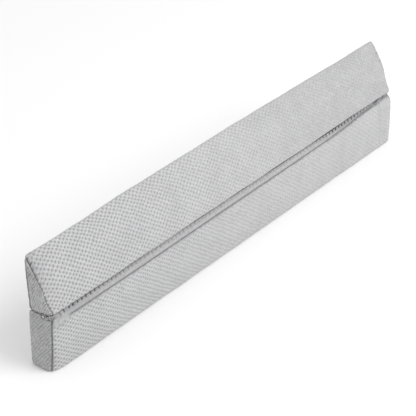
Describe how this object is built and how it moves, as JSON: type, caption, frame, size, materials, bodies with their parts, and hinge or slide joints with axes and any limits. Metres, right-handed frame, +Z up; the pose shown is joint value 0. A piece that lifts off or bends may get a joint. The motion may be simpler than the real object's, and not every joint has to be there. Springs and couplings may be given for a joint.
{
  "type": "bed wedge pillow",
  "caption": "Long filled wedge cushion sewn along a waist to a narrow filled block, in dimpled mesh knit with a concealed zip under its overhanging front edge.",
  "frame": {"origin": "middle of the bounding box in X and Y, on the floor under the block", "axes": "+X along the pillow towards the zip slider's end, +Y from the sloping front to the flat back, +Z up"},
  "size_m": [1.0118, 0.0578, 0.2148],
  "materials": {
    "knit_wrap": "matte dimpled mesh knit",
    "knit_end_panel": "matte mesh knit",
    "knit_strip": "matte mesh knit",
    "zip_coil": "matte coil",
    "zip_metal": "satin cast metal"
  },
  "bodies": {
    "root": {"wedge_cushion": "knit_wrap", "block_cushion": "knit_wrap", "wedge_end_left": "knit_end_panel", "wedge_end_right": "knit_end_panel", "block_end_left": "knit_end_panel", "block_end_right": "knit_end_panel", "zip_flap": "knit_strip", "zip_chain": "zip_coil", "zip_slider": "zip_metal", "zip_pull": "zip_metal"}
  },
  "joints": []
}
